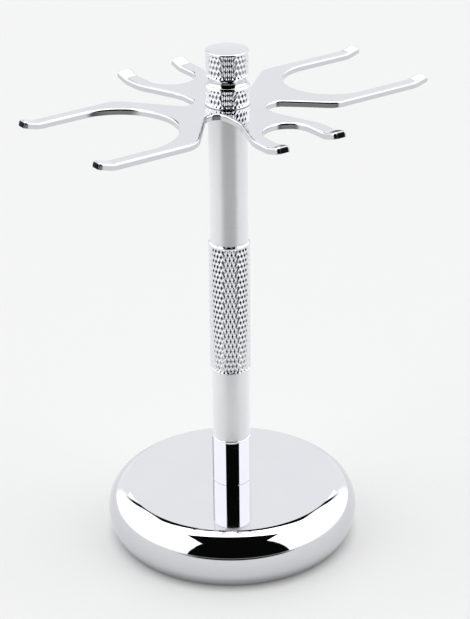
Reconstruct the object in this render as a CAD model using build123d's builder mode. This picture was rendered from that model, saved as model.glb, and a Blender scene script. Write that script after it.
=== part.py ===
"""Free-standing stand for shaving brushes and razors.

A heavy round base carries a turned stem of four screwed sections, a flat plate with
two wide and two narrow pairs of forks, and a two-piece knurled finial that clamps it.

Millimetres.  +Z is up and Z = 0 is the surface the stand rests on.  The stem axis is
the Z axis.  The brush forks open along X and the razor forks open along Y.
"""
import math
import os

from build123d import *

# ---- base -------------------------------------------------------------------------
base_top_z = 18.4
base_edge_z = 0.4
base_widest_radius = 40.3
base_widest_z = 9.2
rim_radius_above = 9.85
rim_radius_below = 13.3
cavity_top_z = 16.4
cavity_top_radius = 31.0
cavity_side_radius = 34.4
cavity_shoulder_z = 12.0
weight_gap = 0.15
pad_thickness = 1.5
pad_radius = 33.6

# ---- fastener under the base ------------------------------------------------------
thread_radius = 3.0
tapped_hole_radius = 3.05
screw_hole_radius = 3.3
recess_radius = 8.0
recess_top_z = 9.6
washer_radius = 7.0
washer_thickness = 1.2
spring_washer_radius = 5.4
spring_washer_bore_radius = 3.1
spring_washer_thickness = 1.5
spring_washer_slot = 0.9
spring_washer_slot_reach = 7.7
screw_head_radius = 5.25
screw_head_height = 3.3
screw_head_round = 1.2
screw_engagement = 8.0
screw_socket_flats = 4.0
screw_socket_depth = 2.0

# ---- stem -------------------------------------------------------------------------
post_radius = 6.1
post_top_z = 34.4
stem_radius = 6.0
grip_radius = 6.5
grip_bottom_z = 58.6
grip_top_z = 102.4
grip_end_chamfer = 0.25
stem_top_z = 145.0
section_edge_break = 0.15
stud_half_length = 6.0
tapped_hole_spare = 0.4
finial_stud_below = 12.0
finial_stud_above = 14.0

# ---- fork plate -------------------------------------------------------------------
plate_thickness = 2.0
plate_top_edge_round = 0.7
plate_bottom_edge_round = 0.3
plate_hole_radius = 3.08
wide_slot_radius = 18.5
wide_slot_centre = 39.6
wide_prong_outer = 22.7
wide_reach = 59.4
wide_shoulder_x = 25.9
wide_shoulder_radius = 8.0
wide_notch_y = -0.25
wide_notch_radius = 3.4
narrow_slot_radius = 15.0
narrow_slot_centre = 39.2
narrow_prong_outer = 19.2
narrow_reach = 62.4
narrow_shoulder_x = 26.6
narrow_shoulder_radius = 6.0
narrow_notch_y = 1.5
narrow_notch_radius = 4.8
razor_slot_radius = 7.6
razor_slot_centre = 31.1
razor_prong_outer = 12.6
razor_reach = 42.6
razor_waist_x = 6.8
razor_waist_y = 15.5
razor_flare_y = 30.5
razor_curve_radius = 14.0
tip_angle = 15.5
tip_inner_radius = 6.0
tip_flat_length = 4.2
tip_corner_radius = 1.3

# ---- finial -----------------------------------------------------------------------
clamp_washer_radius = 5.5
clamp_washer_thickness = 0.5
clamp_washer_recess_radius = 5.6
collar_radius = 6.8
collar_top_z = 153.6
collar_bore_radius = 4.5
collar_top_chamfer = 0.7
collar_bottom_chamfer = 0.3
spigot_radius = 4.48
neck_end_radius = 6.15
neck_waist_radius = 5.75
knob_radius = 6.5
knob_bottom_z = 156.1
knob_top_z = 164.0
knob_top_round = 0.4
knob_bottom_chamfer = 0.3
finial_hole_spare = 0.8

# ---- derived ----------------------------------------------------------------------
rim_angle_above = math.degrees(math.asin((base_top_z - base_widest_z) / rim_radius_above))
rim_angle_below = math.degrees(math.asin((base_widest_z - base_edge_z) / rim_radius_below))
spring_washer_top_z = recess_top_z - washer_thickness
screw_seat_z = spring_washer_top_z - spring_washer_thickness
screw_socket_radius = screw_socket_flats / math.sqrt(3)
plate_top_z = stem_top_z + plate_thickness
plate_edge_split_z = plate_top_z - 0.25
spigot_bottom_z = plate_top_z + clamp_washer_thickness
finial_hole_top_z = stem_top_z + finial_stud_above + finial_hole_spare
tip_sine = math.sin(math.radians(tip_angle))
tip_cosine = math.cos(math.radians(tip_angle))
tip_run = (tip_inner_radius + plate_thickness / 2) * tip_sine + tip_flat_length * tip_cosine
wide_bend = wide_reach - tip_run
narrow_bend = narrow_reach - tip_run
razor_bend = razor_reach - tip_run


def rounded_outline(corners):
    """Draw a closed outline through (x, y, radius) corners; radius 0 leaves a corner sharp."""
    stops = []
    for index, (x, y, radius) in enumerate(corners):
        corner = Vector(x, y)
        if radius == 0:
            stops.append((corner, None, corner))
            continue
        before = Vector(*corners[index - 1][:2])
        after = Vector(*corners[(index + 1) % len(corners)][:2])
        back = (before - corner).normalized()
        ahead = (after - corner).normalized()
        half_angle = math.radians(back.get_angle(ahead) / 2)
        inward = (back + ahead).normalized()
        middle = corner + inward * (radius / math.sin(half_angle) - radius)
        setback = radius / math.tan(half_angle)
        stops.append((corner + back * setback, middle, corner + ahead * setback))
    for index, (start, middle, end) in enumerate(stops):
        Line(stops[index - 1][2], start)
        if middle is not None:
            ThreePointArc(start, middle, end)


def bent_tip(bend_point, outward, width):
    """The turned-up end of one prong, from its bend line to its rounded corners."""
    section = Plane(origin=bend_point, x_dir=outward, z_dir=Vector(*outward).cross(Vector(0, 0, 1)))
    bend_centre = (0, plate_thickness + tip_inner_radius)
    outer_radius = tip_inner_radius + plate_thickness
    top_bend = (tip_inner_radius * tip_sine, bend_centre[1] - tip_inner_radius * tip_cosine)
    bottom_bend = (outer_radius * tip_sine, bend_centre[1] - outer_radius * tip_cosine)
    step = (tip_flat_length * tip_cosine, tip_flat_length * tip_sine)
    top_end = (top_bend[0] + step[0], top_bend[1] + step[1])
    bottom_end = (bottom_bend[0] + step[0], bottom_bend[1] + step[1])
    with BuildPart() as tip:
        with BuildSketch(section):
            with BuildLine():
                Line((0, 0), (0, plate_thickness))
                CenterArc(bend_centre, tip_inner_radius, -90, tip_angle)
                Line(top_bend, top_end)
                Line(top_end, bottom_end)
                Line(bottom_end, bottom_bend)
                CenterArc(bend_centre, outer_radius, -90, tip_angle)
            make_face()
        extrude(amount=width / 2, both=True)
        end_face = tip.faces().sort_by(Axis(bend_point, outward))[-1]
        corner_edges = end_face.edges().sort_by(SortBy.LENGTH)[:2]
        fillet(corner_edges, radius=tip_corner_radius)
    return tip.part


def rim_edges(plate, above):
    """The edges round the plate's top face, or round its bottom face."""
    level = plate.edges().filter_by(lambda edge: abs(edge.tangent_at(0.5).Z) < 0.5)
    return level.filter_by(lambda edge: (edge.center().Z > plate_edge_split_z) == above)


# ---- base shell: pressed and plated, with a crisp edge round its flat top ----------
with BuildPart() as base_shell:
    with BuildSketch(Plane.XZ):
        with BuildLine():
            centre_above = (base_widest_radius - rim_radius_above, base_widest_z)
            above = CenterArc(centre_above, rim_radius_above, 0, rim_angle_above)
            centre_below = (base_widest_radius - rim_radius_below, base_widest_z)
            below = CenterArc(centre_below, rim_radius_below, 0, -rim_angle_below)
            Polyline(
                above @ 1,
                (screw_hole_radius, base_top_z),
                (screw_hole_radius, cavity_top_z),
                (cavity_top_radius, cavity_top_z),
                (cavity_side_radius, cavity_shoulder_z),
                (cavity_side_radius, base_edge_z),
                below @ 1,
            )
        make_face()
    revolve(axis=Axis.Z)
base_shell.part.label = "base_shell"

# ---- cast weight inside the shell, with a recess for the screw head ----------------
with BuildPart() as base_weight:
    with BuildSketch(Plane.XZ):
        with BuildLine():
            Polyline(
                (recess_radius, pad_thickness),
                (cavity_side_radius - weight_gap, pad_thickness),
                (cavity_side_radius - weight_gap, cavity_shoulder_z),
                (cavity_top_radius - weight_gap, cavity_top_z),
                (screw_hole_radius, cavity_top_z),
                (screw_hole_radius, recess_top_z),
                (recess_radius, recess_top_z),
                close=True,
            )
        make_face()
    revolve(axis=Axis.Z)
base_weight.part.label = "base_weight"

# ---- non-slip pad ------------------------------------------------------------------
with BuildPart() as base_pad:
    with BuildSketch():
        Circle(pad_radius)
    extrude(amount=pad_thickness)
base_pad.part.label = "base_pad"

# ---- screw, spring washer and flat washer in the recess -----------------------------
with BuildPart() as base_screw:
    with BuildSketch(Plane.XY.offset(screw_seat_z)):
        Circle(screw_head_radius)
    extrude(amount=-screw_head_height)
    fillet(base_screw.edges().sort_by(Axis.Z)[0], radius=screw_head_round)
    with BuildSketch(Plane.XY.offset(screw_seat_z)):
        Circle(thread_radius)
    extrude(amount=base_top_z + screw_engagement - screw_seat_z)
    with BuildSketch(Plane.XY.offset(screw_seat_z - screw_head_height)):
        RegularPolygon(radius=screw_socket_radius, side_count=6)
    extrude(amount=screw_socket_depth, mode=Mode.SUBTRACT)
base_screw.part.label = "base_screw"

with BuildPart() as spring_washer:
    with BuildSketch(Plane.XY.offset(screw_seat_z)):
        Circle(spring_washer_radius)
        Circle(spring_washer_bore_radius, mode=Mode.SUBTRACT)
        with Locations((spring_washer_radius, 0)):
            Rectangle(spring_washer_slot_reach, spring_washer_slot, mode=Mode.SUBTRACT)
    extrude(amount=spring_washer_thickness)
spring_washer.part.label = "spring_washer"

with BuildPart() as base_washer:
    with BuildSketch(Plane.XY.offset(spring_washer_top_z)):
        Circle(washer_radius)
        Circle(screw_hole_radius, mode=Mode.SUBTRACT)
    extrude(amount=washer_thickness)
base_washer.part.label = "base_washer"


def stem_section(bottom_z, top_z, radius, hole_below, hole_above, edge_break):
    """One turned bar of the stem with a tapped hole in each end."""
    with BuildPart() as section:
        with BuildSketch(Plane.XY.offset(bottom_z)):
            Circle(radius)
        extrude(amount=top_z - bottom_z)
        chamfer(section.edges(), length=edge_break)
        with BuildSketch(Plane.XY.offset(bottom_z)):
            Circle(tapped_hole_radius)
        extrude(amount=hole_below + tapped_hole_spare, mode=Mode.SUBTRACT)
        with BuildSketch(Plane.XY.offset(top_z)):
            Circle(tapped_hole_radius)
        extrude(amount=-hole_above - tapped_hole_spare, mode=Mode.SUBTRACT)
    return section


# ---- stem: polished foot post, satin bar, knurled grip, satin bar -------------------
foot_post = stem_section(
    base_top_z, post_top_z, post_radius, screw_engagement, stud_half_length, section_edge_break
)
foot_post.part.label = "foot_post"

lower_stem = stem_section(
    post_top_z, grip_bottom_z, stem_radius, stud_half_length, stud_half_length, section_edge_break
)
lower_stem.part.label = "lower_stem"

grip_section = stem_section(
    grip_bottom_z, grip_top_z, grip_radius, stud_half_length, stud_half_length, grip_end_chamfer
)
grip_section.part.label = "grip_section"

upper_stem = stem_section(
    grip_top_z, stem_top_z, stem_radius, stud_half_length, finial_stud_below, section_edge_break
)
upper_stem.part.label = "upper_stem"

# ---- three equal studs that join the stem sections ----------------------------------
with BuildPart() as section_studs:
    for joint_z in (post_top_z, grip_bottom_z, grip_top_z):
        with BuildSketch(Plane.XY.offset(joint_z)):
            Circle(thread_radius)
        extrude(amount=stud_half_length, both=True)
section_studs.part.label = "section_studs"

# ---- stud that carries the plate and the finial --------------------------------------
with BuildPart() as finial_stud:
    with BuildSketch(Plane.XY.offset(stem_top_z - finial_stud_below)):
        Circle(thread_radius)
    extrude(amount=finial_stud_below + finial_stud_above)
finial_stud.part.label = "finial_stud"

# ---- fork plate ----------------------------------------------------------------------
upper_half = [
    (-wide_bend, wide_prong_outer, 0),
    (-wide_shoulder_x, wide_prong_outer, wide_shoulder_radius),
    (-razor_waist_x, wide_notch_y, wide_notch_radius),
    (-razor_waist_x, razor_waist_y, razor_curve_radius),
    (-razor_prong_outer, razor_flare_y, razor_curve_radius),
    (-razor_prong_outer, razor_bend, 0),
    (razor_prong_outer, razor_bend, 0),
    (razor_prong_outer, razor_flare_y, razor_curve_radius),
    (razor_waist_x, razor_waist_y, razor_curve_radius),
    (razor_waist_x, narrow_notch_y, narrow_notch_radius),
    (narrow_shoulder_x, narrow_prong_outer, narrow_shoulder_radius),
    (narrow_bend, narrow_prong_outer, 0),
]
lower_half = [(x, -y, radius) for x, y, radius in reversed(upper_half)]

wide_prong_width = wide_prong_outer - wide_slot_radius
narrow_prong_width = narrow_prong_outer - narrow_slot_radius
razor_prong_width = razor_prong_outer - razor_slot_radius
tips = []
for side in (-1, 1):
    wide_middle = side * (wide_prong_outer + wide_slot_radius) / 2
    narrow_middle = side * (narrow_prong_outer + narrow_slot_radius) / 2
    razor_middle = side * (razor_prong_outer + razor_slot_radius) / 2
    tips.append(bent_tip((-wide_bend, wide_middle, stem_top_z), (-1, 0, 0), wide_prong_width))
    tips.append(bent_tip((narrow_bend, narrow_middle, stem_top_z), (1, 0, 0), narrow_prong_width))
    tips.append(bent_tip((razor_middle, razor_bend, stem_top_z), (0, 1, 0), razor_prong_width))
    tips.append(bent_tip((razor_middle, -razor_bend, stem_top_z), (0, -1, 0), razor_prong_width))

with BuildPart() as fork_plate:
    with BuildSketch(Plane.XY.offset(stem_top_z)):
        with BuildLine():
            rounded_outline(upper_half + lower_half)
        make_face()
        with Locations((-wide_slot_centre, 0)):
            Circle(wide_slot_radius, mode=Mode.SUBTRACT)
        with Locations((-(wide_slot_centre + wide_bend) / 2, 0)):
            Rectangle(wide_bend - wide_slot_centre, 2 * wide_slot_radius, mode=Mode.SUBTRACT)
        with Locations((narrow_slot_centre, 0)):
            Circle(narrow_slot_radius, mode=Mode.SUBTRACT)
        with Locations(((narrow_slot_centre + narrow_bend) / 2, 0)):
            Rectangle(narrow_bend - narrow_slot_centre, 2 * narrow_slot_radius, mode=Mode.SUBTRACT)
        for side in (-1, 1):
            with Locations((0, side * razor_slot_centre)):
                Circle(razor_slot_radius, mode=Mode.SUBTRACT)
            with Locations((0, side * (razor_slot_centre + razor_bend) / 2)):
                Rectangle(2 * razor_slot_radius, razor_bend - razor_slot_centre, mode=Mode.SUBTRACT)
    extrude(amount=plate_thickness)
    add(tips)
    fillet(rim_edges(fork_plate, above=False), radius=plate_bottom_edge_round)
    fillet(rim_edges(fork_plate, above=True), radius=plate_top_edge_round)
    with BuildSketch(Plane.XY.offset(stem_top_z)):
        Circle(plate_hole_radius)
    extrude(amount=plate_thickness, mode=Mode.SUBTRACT)
fork_plate.part.label = "fork_plate"

# ---- thin washer that the finial bears on, held in a recess under the collar ----------
with BuildPart() as clamp_washer:
    with BuildSketch(Plane.XY.offset(plate_top_z)):
        Circle(clamp_washer_radius)
        Circle(screw_hole_radius, mode=Mode.SUBTRACT)
    extrude(amount=clamp_washer_thickness)
clamp_washer.part.label = "clamp_washer"

# ---- finial: knurled collar pressed on the spigot of the knurled knob -----------------
with BuildPart() as finial_collar:
    with BuildSketch(Plane.XY.offset(plate_top_z)):
        Circle(collar_radius)
    extrude(amount=collar_top_z - plate_top_z)
    chamfer(finial_collar.edges().sort_by(Axis.Z)[-1], length=collar_top_chamfer)
    chamfer(finial_collar.edges().sort_by(Axis.Z)[0], length=collar_bottom_chamfer)
    with BuildSketch(Plane.XY.offset(plate_top_z)):
        Circle(collar_bore_radius)
    extrude(amount=collar_top_z - plate_top_z, mode=Mode.SUBTRACT)
    with BuildSketch(Plane.XY.offset(plate_top_z)):
        Circle(clamp_washer_recess_radius)
    extrude(amount=clamp_washer_thickness, mode=Mode.SUBTRACT)
finial_collar.part.label = "finial_collar"

with BuildPart() as finial_knob:
    with BuildSketch(Plane.XZ):
        with BuildLine():
            cove = ThreePointArc(
                (neck_end_radius, collar_top_z),
                (neck_waist_radius, (collar_top_z + knob_bottom_z) / 2),
                (neck_end_radius, knob_bottom_z),
            )
            Polyline(
                cove @ 1,
                (knob_radius - knob_bottom_chamfer, knob_bottom_z),
                (knob_radius, knob_bottom_z + knob_bottom_chamfer),
                (knob_radius, knob_top_z),
                (0, knob_top_z),
                (0, spigot_bottom_z),
                (spigot_radius, spigot_bottom_z),
                (spigot_radius, collar_top_z),
                cove @ 0,
            )
        make_face()
    revolve(axis=Axis.Z)
    fillet(finial_knob.edges().sort_by(Axis.Z)[-1], radius=knob_top_round)
    with BuildSketch(Plane.XY.offset(spigot_bottom_z)):
        Circle(tapped_hole_radius)
    extrude(amount=finial_hole_top_z - spigot_bottom_z, mode=Mode.SUBTRACT)
finial_knob.part.label = "finial_knob"

os.makedirs("parts", exist_ok=True)
export_step(base_shell.part, "parts/base_shell.step")
export_step(base_weight.part, "parts/base_weight.step")
export_step(base_pad.part, "parts/base_pad.step")
export_step(base_screw.part, "parts/base_screw.step")
export_step(spring_washer.part, "parts/spring_washer.step")
export_step(base_washer.part, "parts/base_washer.step")
export_step(foot_post.part, "parts/foot_post.step")
export_step(lower_stem.part, "parts/lower_stem.step")
export_step(grip_section.part, "parts/grip_section.step")
export_step(upper_stem.part, "parts/upper_stem.step")
export_step(section_studs.part, "parts/section_studs.step")
export_step(finial_stud.part, "parts/finial_stud.step")
export_step(fork_plate.part, "parts/fork_plate.step")
export_step(clamp_washer.part, "parts/clamp_washer.step")
export_step(finial_collar.part, "parts/finial_collar.step")
export_step(finial_knob.part, "parts/finial_knob.step")
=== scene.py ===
import math

import bpy
import numpy as np
from mathutils import Matrix, Vector


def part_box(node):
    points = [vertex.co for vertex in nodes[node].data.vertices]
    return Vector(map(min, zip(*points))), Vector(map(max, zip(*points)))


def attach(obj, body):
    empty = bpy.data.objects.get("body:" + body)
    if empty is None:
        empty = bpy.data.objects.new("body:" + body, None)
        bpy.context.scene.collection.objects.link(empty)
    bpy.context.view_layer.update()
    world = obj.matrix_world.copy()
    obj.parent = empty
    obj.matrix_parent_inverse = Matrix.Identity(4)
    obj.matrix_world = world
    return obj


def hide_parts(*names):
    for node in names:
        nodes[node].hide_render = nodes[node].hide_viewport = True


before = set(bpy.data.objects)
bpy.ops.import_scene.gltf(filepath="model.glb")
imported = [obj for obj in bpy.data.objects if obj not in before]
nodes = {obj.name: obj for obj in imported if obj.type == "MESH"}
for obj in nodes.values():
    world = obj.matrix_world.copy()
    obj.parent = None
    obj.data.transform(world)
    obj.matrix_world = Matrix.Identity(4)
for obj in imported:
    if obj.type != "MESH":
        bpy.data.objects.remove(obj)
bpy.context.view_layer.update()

scene = bpy.context.scene
MM = 0.001
CAMERA_TURN = math.radians(34.69)

# brightness of the tent as the chrome sees it, and of the backdrop as the camera sees it
WALL_LOW = 1.25
WALL_HIGH = 1.6
ROOF_EXTRA = 1.5
BACK = 1.09
BACKDROP = 0.9
DARKEST = 0.003

# the tent's outlines as tangents seen from the object; the seam's two widths are shares of the cloth's outline
DOORWAY_LEFT, DOORWAY_LEFT_LEAN = -0.84, 0.157
DOORWAY_RIGHT, DOORWAY_RIGHT_LEAN = 1.19, -0.18
GAP_OVER_WALLS = 0.53
ROOF_FRONT = 0.185
CLOTH_HALF_WIDTH, CLOTH_HEIGHT = 0.78, 3.4
SEAM_THIN, SEAM_THICK = 1.14, 1.85
LEFT_BAR = (-0.53, -0.10), (0.455, 0.615)
RIGHT_BAR = (0.09, 0.4), (0.58, 0.66)
GREY_LOW, GREY_HIGH = 0.615, 0.66

# the paper floor: how much light it returns, how much painted glow it gives to lighten the shadows on it, and
# where its mirrored part ends
FLOOR = 0.40
FLOOR_PAINTED_GLOW = 0.387
FLOOR_REACH = 9.0
TABLE_EDGE = 0.125
TABLE_LEFT, TABLE_RIGHT = -0.80, 1.1


class Tree:
    """A node tree with short calls for its nodes and links."""

    def __init__(self, tree):
        self.tree = tree
        tree.nodes.clear()

    def add(self, kind, settings=None, **inputs):
        node = self.tree.nodes.new(kind)
        for key, value in (settings or {}).items():
            setattr(node, key, value)
        for key, value in inputs.items():
            self.put(node.inputs[key.replace("_", " ")], value)
        return node

    def put(self, socket, value):
        if isinstance(value, bpy.types.NodeSocket):
            self.tree.links.new(value, socket)
        else:
            socket.default_value = value

    def math(self, operation, *values):
        node = self.add("ShaderNodeMath", {"operation": operation})
        for socket, value in zip(node.inputs, values):
            self.put(socket, value)
        return node.outputs[0]

    def ramp(self, value, low, high, start=0.0, end=1.0):
        """start below low, end above high, and a smooth step between them."""
        node = self.add("ShaderNodeMapRange", {"interpolation_type": "SMOOTHSTEP"})
        keys = ("Value", "From Min", "From Max", "To Min", "To Max")
        for key, item in zip(keys, (value, low, high, start, end)):
            self.put(node.inputs[key], item)
        return node.outputs["Result"]

    def band(self, value, low, high, soft):
        """1 between low and high, 0 outside."""
        return self.math("MULTIPLY", self.ramp(value, low - soft, low + soft),
                         self.ramp(value, high - soft, high + soft, 1.0, 0.0))

    def either(self, *values):
        result = values[0]
        for value in values[1:]:
            result = self.math("MAXIMUM", result, value)
        return result

    def both(self, *values):
        result = values[0]
        for value in values[1:]:
            result = self.math("MULTIPLY", result, value)
        return result

    def blend(self, first, first_share, second, second_share):
        """Two values added in the given shares."""
        return self.math("ADD", self.math("MULTIPLY", first, first_share),
                         self.math("MULTIPLY", second, second_share))

    def noise(self, vector, scale, detail=3.0, roughness=0.5):
        return self.add("ShaderNodeTexNoise", None, Vector=vector, Scale=scale, Detail=detail,
                        Roughness=roughness).outputs["Fac"]

    def stretched(self, vector, scale):
        node = self.add("ShaderNodeMapping", None, Vector=vector, Scale=scale)
        return node.outputs["Vector"]

    def colours(self, value, stops):
        node = self.add("ShaderNodeValToRGB", None, Fac=value)
        ramp = node.color_ramp
        while len(ramp.elements) < len(stops):
            ramp.elements.new(0.5)
        for element, (place, colour) in zip(ramp.elements, stops):
            element.position = place
            element.color = (*colour, 1.0)
        return node.outputs["Color"]


# ---- studio -------------------------------------------------------------------------


def tent_world():
    """A white light tent with a dark opening on the camera's side. x is right, y is away, z is up."""
    world = bpy.data.worlds.new("tent")
    scene.world = world
    world.use_nodes = True
    t = Tree(world.node_tree)
    direction = t.add("ShaderNodeTexCoord").outputs["Generated"]
    turn = t.add("ShaderNodeVectorRotate", {"rotation_type": "Z_AXIS"}, Vector=direction, Angle=CAMERA_TURN)
    parts = t.add("ShaderNodeSeparateXYZ", None, Vector=turn.outputs["Vector"])
    x, y, z = (parts.outputs[k] for k in "XYZ")
    ahead = t.math("MAXIMUM", y, 0.001)
    behind = t.math("MAXIMUM", t.math("MULTIPLY", y, -1.0), 0.001)
    up = t.math("MAXIMUM", z, 0.0)

    # the opening between the two side walls, and the gap over it up to the roof's front edge
    side = t.math("DIVIDE", x, behind)
    rise = t.math("DIVIDE", z, behind)
    left_edge = t.math("MULTIPLY_ADD", rise, DOORWAY_LEFT_LEAN, DOORWAY_LEFT)
    right_edge = t.math("MULTIPLY_ADD", rise, DOORWAY_RIGHT_LEAN, DOORWAY_RIGHT)
    doorway = t.both(t.ramp(t.math("SUBTRACT", side, left_edge), -0.02, 0.02),
                     t.ramp(t.math("SUBTRACT", right_edge, side), -0.02, 0.02))
    gap_edge = t.math("MULTIPLY", up, GAP_OVER_WALLS)
    over_walls = t.ramp(t.math("SUBTRACT", gap_edge, t.math("ABSOLUTE", x)), -0.01, 0.01)
    under_roof = t.ramp(t.math("SUBTRACT", behind, t.math("MULTIPLY", up, ROOF_FRONT)), -0.01, 0.01)
    opening = t.both(t.either(doorway, over_walls), under_roof, t.ramp(y, -0.01, 0.0, 1.0, 0.0))

    # the back cloth: a grey lower part, and the dark seams round and across it
    across = t.math("DIVIDE", x, ahead)
    height = t.math("DIVIDE", z, ahead)
    wide = t.math("MULTIPLY", t.math("ABSOLUTE", across), 1 / CLOTH_HALF_WIDTH)
    tall = t.math("MULTIPLY", t.math("MAXIMUM", height, 0.0), 1 / CLOTH_HEIGHT)
    rounded = t.math("ADD", t.math("POWER", wide, 4.0), t.math("POWER", tall, 4.0))
    cloth = t.math("POWER", rounded, 0.25)
    is_back = t.ramp(y, 0.0, 0.02)
    seam_top = t.ramp(height, 1.1, 2.9, SEAM_THIN, SEAM_THICK)
    below_seam_top = t.ramp(t.math("SUBTRACT", cloth, seam_top), -0.02, 0.02, 1.0, 0.0)
    seam = t.both(t.ramp(cloth, 0.97, 1.0), below_seam_top, t.ramp(height, 0.45, 0.9), is_back)
    slope = t.math("DIVIDE", height, t.math("SQRT", t.math("ADD", 1.0, t.math("POWER", across, 2.0))))
    left_bar, right_bar = (t.both(t.band(across, *sides, 0.01), t.band(slope, *heights, 0.015), is_back)
                           for sides, heights in (LEFT_BAR, RIGHT_BAR))
    grey = t.both(t.ramp(cloth, 0.85, 1.1, 1.0, 0.0), t.ramp(height, GREY_LOW, GREY_HIGH, 1.0, 0.0), is_back)

    wall = t.math("ADD", t.ramp(z, -0.12, 0.2, WALL_LOW, WALL_HIGH), t.ramp(z, 0.75, 0.92, 0.0, ROOF_EXTRA))
    light = t.math("MULTIPLY_ADD", grey, t.math("SUBTRACT", BACK, wall), wall)
    dark = t.either(opening, seam, t.math("MULTIPLY", left_bar, 0.97), t.math("MULTIPLY", right_bar, 0.75),
                    t.ramp(z, -0.004, 0.0, 1.0, 0.0))
    strength = t.math("MULTIPLY", light, t.math("SUBTRACT", 1.0, dark))
    strength = t.math("MAXIMUM", strength, DARKEST)
    tent = t.add("ShaderNodeBackground", None, Color=(0.985, 0.99, 1.0, 1.0), Strength=strength)
    plain = t.add("ShaderNodeBackground", None, Color=(1.0, 1.0, 1.0, 1.0), Strength=BACKDROP)
    seen = t.add("ShaderNodeLightPath").outputs["Is Camera Ray"]
    mix = t.add("ShaderNodeMixShader", None, Fac=seen)
    t.put(mix.inputs[1], tent.outputs[0])
    t.put(mix.inputs[2], plain.outputs[0])
    t.add("ShaderNodeOutputWorld", None, Surface=mix.outputs[0])


def floor_material():
    """White paper. What the chrome mirrors of it ends in front of the base, as at a table's edge: beyond that
    line the paper is painted dark for mirror rays only, a painted dark reflection.
    """
    material = bpy.data.materials.new("floor_paper")
    material.use_nodes = True
    t = Tree(material.node_tree)
    where = t.add("ShaderNodeTexCoord").outputs["Object"]
    turn = t.add("ShaderNodeVectorRotate", {"rotation_type": "Z_AXIS"}, Vector=where, Angle=CAMERA_TURN)
    parts = t.add("ShaderNodeSeparateXYZ", None, Vector=turn.outputs["Vector"])
    toward = t.math("MULTIPLY", parts.outputs["Y"], -1.0)
    side = t.math("DIVIDE", parts.outputs["X"], t.math("MAXIMUM", toward, 0.001))
    beyond = t.both(t.ramp(toward, TABLE_EDGE - 0.02, TABLE_EDGE + 0.02),
                    t.band(side, TABLE_LEFT, TABLE_RIGHT, 0.35))
    # painted dark reflection: beyond the edge line the paper is painted dark in what the chrome mirrors, a
    # little less dark further out
    painted_reflection_dark = t.math("MULTIPLY", beyond, t.ramp(toward, 0.22, 0.40, 1.0, 0.72))
    mirrored = t.add("ShaderNodeLightPath").outputs["Is Glossy Ray"]
    lit = t.math("SUBTRACT", 1.0, t.math("MULTIPLY", painted_reflection_dark, mirrored))
    grain = t.noise(where, 900.0, 2.0)
    middle = t.add("ShaderNodeVectorMath", {"operation": "LENGTH"})
    t.put(middle.inputs[0], where)
    # painted light: the paper glows to lighten its shadows, but not under and close round the base, which
    # paints a darker contact shade there
    painted_glow = t.ramp(middle.outputs["Value"], 0.034, 0.042, 0.0, FLOOR_PAINTED_GLOW)
    bright = t.math("MULTIPLY", lit, t.ramp(grain, 0.3, 0.7, FLOOR * 0.985, FLOOR))
    colour = t.add("ShaderNodeCombineColor", None, Red=bright, Green=bright, Blue=bright)
    paper = t.add("ShaderNodeBsdfPrincipled", None, Base_Color=colour.outputs[0], Roughness=0.9,
                  Emission_Strength=t.math("MULTIPLY", lit, painted_glow))
    paper.inputs["Emission Color"].default_value = (1.0, 1.0, 1.0, 1.0)
    paper.inputs["Specular IOR Level"].default_value = 0.0
    clear = t.add("ShaderNodeBsdfTransparent")
    mix = t.add("ShaderNodeMixShader", None, Fac=t.add("ShaderNodeNewGeometry").outputs["Backfacing"])
    t.put(mix.inputs[1], paper.outputs[0])
    t.put(mix.inputs[2], clear.outputs[0])
    t.add("ShaderNodeOutputMaterial", None, Surface=mix.outputs[0])
    return material


def studio():
    tent_world()
    mesh = bpy.data.meshes.new("floor")
    signs = ((-1, -1), (1, -1), (1, 1), (-1, 1))
    mesh.from_pydata([(a * FLOOR_REACH, b * FLOOR_REACH, 0) for a, b in signs], [], [(0, 1, 2, 3)])
    mesh.materials.append(floor_material())
    floor = bpy.data.objects.new("floor", mesh)
    scene.collection.objects.link(floor)


def camera():
    data = bpy.data.cameras.new("camera")
    data.sensor_width = 36.0
    data.lens = 125.777
    data.dof.use_dof = False
    data.clip_start = 0.01
    data.clip_end = 50.0
    eye = bpy.data.objects.new("camera", data)
    pitch, yaw, roll = 0.439113, 0.002577, -0.011002
    eye.rotation_mode = "XYZ"
    sp, cp, sy, cy = math.sin(pitch), math.cos(pitch), math.sin(yaw), math.cos(yaw)
    forward = Vector((sy * cp, cy * cp, -sp))
    right = Vector((cy, -sy, 0.0))
    upward = right.cross(forward)
    right, upward = (math.cos(roll) * right + math.sin(roll) * upward,
                     math.cos(roll) * upward - math.sin(roll) * right)
    aim = Matrix((right, upward, -forward)).transposed().to_4x4()
    aim.translation = Vector((0.0, -0.614086, 0.366919))
    eye.matrix_world = Matrix.Rotation(-CAMERA_TURN, 4, "Z") @ aim
    scene.collection.objects.link(eye)
    scene.camera = eye
    scene.view_settings.view_transform = "Standard"
    scene.view_settings.look = "None"


# ---- materials ----------------------------------------------------------------------


def start_material(name):
    material = bpy.data.materials.new(name)
    material.use_nodes = True
    t = Tree(material.node_tree)
    return material, t, t.add("ShaderNodeTexCoord").outputs["Object"]


def finish_material(t, colour, roughness, metallic, height, distance, strength):
    """The shader, with bumps whose height is given as 0 to 1 and whose size is distance in metres."""
    shader = t.add("ShaderNodeBsdfPrincipled", None, Base_Color=colour, Roughness=roughness,
                   Metallic=metallic)
    bumps = t.add("ShaderNodeBump", None, Height=height, Distance=distance, Strength=strength)
    t.put(shader.inputs["Normal"], bumps.outputs["Normal"])
    t.add("ShaderNodeOutputMaterial", None, Surface=shader.outputs[0])


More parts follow.
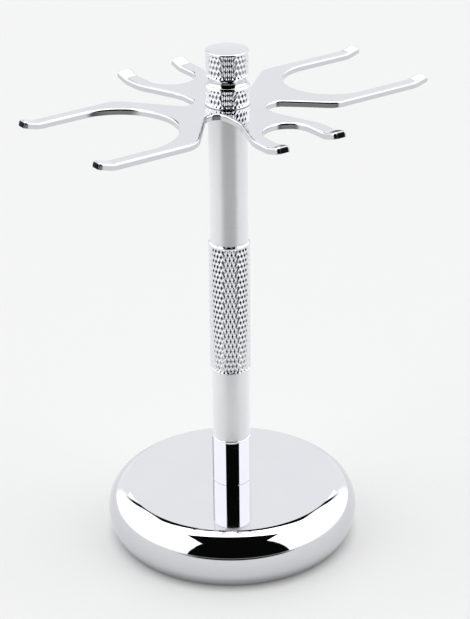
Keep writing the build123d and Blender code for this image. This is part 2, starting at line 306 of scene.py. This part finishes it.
def chrome(name, tone=0.71, polish=0.03):
    """Bright plating: a faint haze in the gloss, hairline polishing marks and a slight waviness."""
    material, t, where = start_material(name)
    haze = t.noise(where, 70.0, 3.0)
    marks = t.noise(t.stretched(where, (900.0, 900.0, 120.0)), 1.0, 4.0, 0.6)
    colour = t.colours(haze, ((0.35, (tone * 0.985, tone * 0.99, tone * 1.03)),
                              (0.65, (tone, tone * 1.003, tone * 1.04))))
    roughness = t.ramp(t.blend(haze, 0.7, marks, 0.3), 0.35, 0.7, polish * 0.5, polish * 1.6)
    finish_material(t, colour, roughness, 1.0, marks, 0.00002, 0.04)
    return material


def plate_chrome(name, tone=0.663):
    """Bright plating over a stamped plate; the end faces of its eight tips are painted near-black."""
    material, t, where = start_material(name)
    haze = t.noise(where, 60.0, 3.0)
    marks = t.noise(t.stretched(where, (500.0, 1200.0, 1200.0)), 1.0, 4.0, 0.6)
    place = t.add("ShaderNodeSeparateXYZ", None, Vector=where)
    facing = t.add("ShaderNodeSeparateXYZ", None, Vector=t.add("ShaderNodeTexCoord").outputs["Normal"])
    facing_x = t.math("ABSOLUTE", facing.outputs["X"])
    facing_y = t.math("ABSOLUTE", facing.outputs["Y"])
    along_x = t.both(t.ramp(t.math("ABSOLUTE", place.outputs["X"]), 0.0555, 0.0560),
                     t.ramp(facing_x, 0.6, 0.68), t.ramp(facing_y, 0.5, 0.62, 1.0, 0.0))
    along_y = t.both(t.ramp(t.math("ABSOLUTE", place.outputs["Y"]), 0.0390, 0.0395),
                     t.ramp(facing_y, 0.6, 0.68), t.ramp(facing_x, 0.12, 0.24, 1.0, 0.0))
    # the end faces of the eight tips, which the mix below paints near-black
    cut = t.either(along_x, along_y)
    bright = t.colours(haze, ((0.35, (tone * 0.98, tone * 0.995, tone * 1.04)),
                              (0.65, (tone * 0.99, tone * 1.01, tone * 1.05))))
    mix = t.add("ShaderNodeMix", {"data_type": "RGBA"})
    t.put(mix.inputs["Factor"], cut)
    t.put(mix.inputs[6], bright)
    t.put(mix.inputs[7], (0.006, 0.005, 0.006, 1.0))
    roughness = t.ramp(t.blend(haze, 0.7, marks, 0.3), 0.35, 0.7, 0.02, 0.06)
    roughness = t.math("MAXIMUM", roughness, t.math("MULTIPLY", cut, 0.25))
    finish_material(t, mix.outputs[2], roughness, 1.0, marks, 0.00002, 0.04)
    return material


def satin(name):
    """Matt plating over a bead-blasted and lightly turned bar."""
    material, t, where = start_material(name)
    grain = t.noise(where, 9000.0, 2.0, 0.6)
    turned = t.noise(t.stretched(where, (60.0, 60.0, 5200.0)), 1.0, 3.0, 0.6)
    cloud = t.noise(where, 90.0, 2.0)
    colour = t.colours(t.blend(cloud, 0.6, grain, 0.4),
                       ((0.3, (0.845, 0.847, 0.855)), (0.7, (0.88, 0.882, 0.89))))
    roughness = t.ramp(t.blend(grain, 0.5, turned, 0.5), 0.3, 0.7, 0.27, 0.35)
    height = t.math("ADD", grain, t.math("MULTIPLY", turned, 0.5))
    finish_material(t, colour, roughness, 0.39, height, 0.00002, 0.12)
    return material


def knurled_chrome(name):
    """Bright plating over knurling, a little duller at the bottom of the grooves, with painted light in its
    colour: the knurled band painted lighter than the plain rings, and painted shade darkening it towards the
    groove bottoms.
    """
    material, t, where = start_material(name)
    depth = t.add("ShaderNodeAttribute", {"attribute_name": "groove"}).outputs["Fac"]
    haze = t.noise(where, 120.0, 3.0)
    grain = t.noise(where, 4000.0, 2.0)
    # painted light: the groove attribute lifts the knurled band to the lightest stop as a painted highlight,
    # and its cut share darkens the grooves as painted shade
    colour = t.colours(t.blend(depth, 0.9, haze, 0.1),
                       ((0.08, (0.67, 0.675, 0.70)), (0.3, (0.90, 0.905, 0.93)), (0.95, (0.72, 0.725, 0.75))))
    roughness = t.ramp(t.blend(depth, 0.5, grain, 0.3), 0.1, 0.5, 0.03, 0.14)
    finish_material(t, colour, roughness, 1.0, grain, 0.00002, 0.05)
    return material


def cast_iron(name):
    material, t, where = start_material(name)
    grain = t.noise(where, 1400.0, 5.0, 0.65)
    rust = t.noise(where, 160.0, 4.0)
    colour = t.colours(t.blend(grain, 0.5, rust, 0.5),
                       ((0.3, (0.045, 0.043, 0.042)), (0.6, (0.11, 0.105, 0.10)), (0.8, (0.16, 0.12, 0.09))))
    finish_material(t, colour, t.ramp(grain, 0.3, 0.7, 0.5, 0.75), 0.6, grain, 0.0003, 0.5)
    return material


def rubber(name):
    material, t, where = start_material(name)
    grain = t.noise(where, 2600.0, 3.0, 0.6)
    dust = t.noise(where, 220.0, 4.0)
    colour = t.colours(dust, ((0.35, (0.016, 0.016, 0.017)), (0.75, (0.035, 0.034, 0.034))))
    finish_material(t, colour, t.ramp(grain, 0.3, 0.7, 0.7, 0.9), 0.0, grain, 0.0001, 0.4)
    return material


def zinc_steel(name):
    material, t, where = start_material(name)
    grain = t.noise(where, 1800.0, 4.0, 0.6)
    tint = t.noise(where, 300.0, 3.0)
    colour = t.colours(tint, ((0.3, (0.50, 0.51, 0.53)), (0.7, (0.62, 0.62, 0.60))))
    finish_material(t, colour, t.ramp(grain, 0.3, 0.7, 0.24, 0.42), 1.0, grain, 0.00005, 0.15)
    return material


def nylon(name):
    material, t, where = start_material(name)
    grain = t.noise(where, 1500.0, 3.0)
    cloud = t.noise(where, 200.0, 2.0)
    colour = t.colours(cloud, ((0.3, (0.74, 0.73, 0.69)), (0.7, (0.82, 0.81, 0.78))))
    finish_material(t, colour, t.ramp(grain, 0.3, 0.7, 0.4, 0.55), 0.0, grain, 0.00005, 0.15)
    return material


# ---- knurled pieces, in millimetres -------------------------------------------------

TEETH = 32
STEPS_PER_TOOTH = 12
KNURL_PERIOD = 3.46
KNURL_DEPTH = 0.5
SPINS = TEETH * STEPS_PER_TOOTH
ROW_STEP = KNURL_PERIOD / STEPS_PER_TOOTH
CREASE_ANGLE = math.radians(50)
# the groove attribute's values: an offset that paints the knurled band lighter, and a share of the cut that
# paints the grooves darker as shade
BAND_PAINTED_LIGHT, GROOVE_PAINTED_SHADE = 0.25, 0.5

HOLE = 3.05
GRIP_HOLE_DEPTH = 6.4
KNOB_HOLE_TOP = 159.8
KNOB_BOTTOM = 156.1
SPIGOT = 4.48
GRIP_RADIUS = 6.5
COLLAR_RADIUS = 6.8
COLLAR_BORE, COLLAR_RECESS, RECESS_DEPTH = 4.5, 5.6, 0.5
KNOB_RADIUS = 6.5
NECK_RADIUS, NECK_WAIST, NECK_STEPS = 6.15, 0.4, 12


def span(node):
    """The bottom and the top of a CAD node."""
    lowest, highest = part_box(node)
    return round(lowest.z / MM, 3), round(highest.z / MM, 3)


def wave(turns):
    """1 at each whole turn, -1 halfway between, and straight from one to the other."""
    return 4 * np.abs(turns - np.floor(turns) - 0.5) - 1


def from_crease(turns):
    """How far a point is from the nearest crease of the wave."""
    return abs(2 * turns - round(2 * turns))


def knurled(name, below, above, radius, low, high, body, node):
    """A turned piece with a band of diamond knurling from low to high. Below and above are the plain
    (radius, z) outline points up to the band and after it, which may start and end on the axis."""
    rows = [(r, z, None) for r, z in below]
    count = int(round((high - low) / ROW_STEP))
    for index in range(count + 1):
        rows.append((radius, low + (high - low) * index / count, index))
    rows += [(r, z, None) for r, z in above]
    angles = np.arange(SPINS) * 2 * math.pi / SPINS
    points, shades, starts = [], [], []
    for r, z, index in rows:
        starts.append(len(points))
        if r == 0:
            points.append((0.0, 0.0, z * MM))
            shades.append(0.0)
            continue
        cut = np.zeros(SPINS)
        if index is not None:
            along = index / STEPS_PER_TOOTH
            around = np.arange(SPINS) / STEPS_PER_TOOTH
            fade = min(1.0, index / 1.5, (count - index) / 1.5)
            cut = (2 - wave(around + along) - wave(around - along)) / 4 * fade
        radii = (r - KNURL_DEPTH * cut) * MM
        points += list(zip(radii * np.cos(angles), radii * np.sin(angles), np.full(SPINS, z * MM)))
        shades += list(cut if index is None else BAND_PAINTED_LIGHT + GROOVE_PAINTED_SHADE * cut)
    faces = []
    for row in range(len(rows) - 1):
        a, b = starts[row], starts[row + 1]
        pole_a, pole_b = rows[row][0] == 0, rows[row + 1][0] == 0
        both_knurled = rows[row][2] is not None and rows[row + 1][2] is not None
        for i in range(SPINS):
            j = (i + 1) % SPINS
            if pole_a:
                faces.append((a, b + j, b + i))
            elif pole_b:
                faces.append((a + i, a + j, b))
            elif both_knurled:
                along = (rows[row][2] + 0.5) / STEPS_PER_TOOTH
                around = (i + 0.5) / STEPS_PER_TOOTH
                if from_crease(around + along) < from_crease(around - along):
                    faces += [(a + i, a + j, b + i), (a + j, b + j, b + i)]
                else:
                    faces += [(a + i, a + j, b + j), (a + i, b + j, b + i)]
            else:
                faces.append((a + i, a + j, b + j, b + i))
    mesh = bpy.data.meshes.new(name)
    mesh.from_pydata(points, [], faces)
    groove = mesh.attributes.new("groove", "FLOAT", "POINT")
    groove.data.foreach_set("value", np.array(shades, np.float32))
    mesh.shade_smooth()
    mesh.set_sharp_from_angle(angle=CREASE_ANGLE)
    mesh.materials.append(looks["knurled_chrome"])
    piece = bpy.data.objects.new(name, mesh)
    scene.collection.objects.link(piece)
    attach(piece, body)
    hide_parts(node)


def grip():
    bottom, top = span("grip_section")
    hole_end, hole_start = bottom + GRIP_HOLE_DEPTH, top - GRIP_HOLE_DEPTH
    knurled("grip_knurled",
            [(0, hole_end), (HOLE, hole_end), (HOLE, bottom), (6.15, bottom), (6.3, bottom + 0.05),
             (6.43, bottom + 0.15), (GRIP_RADIUS, bottom + 0.32)],
            [(GRIP_RADIUS, top - 0.62), (6.42, top - 0.5), (6.05, top - 0.04), (6.0, top), (HOLE, top),
             (HOLE, hole_start), (0, hole_start)],
            GRIP_RADIUS, bottom + 0.4, top - 0.66, "stand", "grip_section")


def collar():
    bottom, top = span("finial_collar")
    recess = bottom + RECESS_DEPTH
    knurled("finial_collar_knurled",
            [(COLLAR_BORE, top), (COLLAR_BORE, recess), (COLLAR_RECESS, recess), (COLLAR_RECESS, bottom),
             (6.5, bottom), (6.68, bottom + 0.12), (COLLAR_RADIUS, bottom + 0.3)],
            [(COLLAR_RADIUS, top - 0.72), (6.62, top - 0.5), (6.3, top - 0.18), (6.1, top),
             (COLLAR_BORE, top)],
            COLLAR_RADIUS, bottom + 0.36, top - 0.8, "finial", "finial_collar")


def knob():
    bottom = KNOB_BOTTOM
    spigot_end, top = span("finial_knob")
    neck_low = span("finial_collar")[1]
    neck = []
    for step in range(NECK_STEPS + 1):
        share = step / NECK_STEPS
        neck.append((NECK_RADIUS - NECK_WAIST * math.sin(math.pi * share),
                     neck_low + (bottom - neck_low) * share))
    knurled("finial_knob_knurled",
            [(0, KNOB_HOLE_TOP), (HOLE, KNOB_HOLE_TOP), (HOLE, spigot_end), (SPIGOT, spigot_end),
             (SPIGOT, neck_low)] + neck + [(6.35, bottom), (KNOB_RADIUS, bottom + 0.1)],
            [(KNOB_RADIUS, top - 0.46), (6.47, top - 0.28), (6.38, top - 0.12), (6.25, top - 0.03),
             (6.1, top), (0, top)],
            KNOB_RADIUS, bottom + 0.14, top - 0.5, "finial", "finial_knob")


# ---- the scene ----------------------------------------------------------------------

camera()
studio()
looks = {
    "knurled_chrome": knurled_chrome("chrome_knurled"),
    "base_chrome": chrome("chrome_base"),
    "post_chrome": chrome("chrome_post", 0.80, 0.02),
    "plate_chrome": plate_chrome("chrome_plate"),
    "stem_satin": satin("satin_stem"),
    "weight_iron": cast_iron("iron_cast"),
    "pad_rubber": rubber("rubber_pad"),
    "fastener_steel": zinc_steel("steel_zinc"),
    "washer_nylon": nylon("nylon_washer"),
}
for name, item in nodes.items():
    for place in item.material_slots:
        place.material = looks[place.material.name.split(".")[0]]
grip()
collar()
knob()
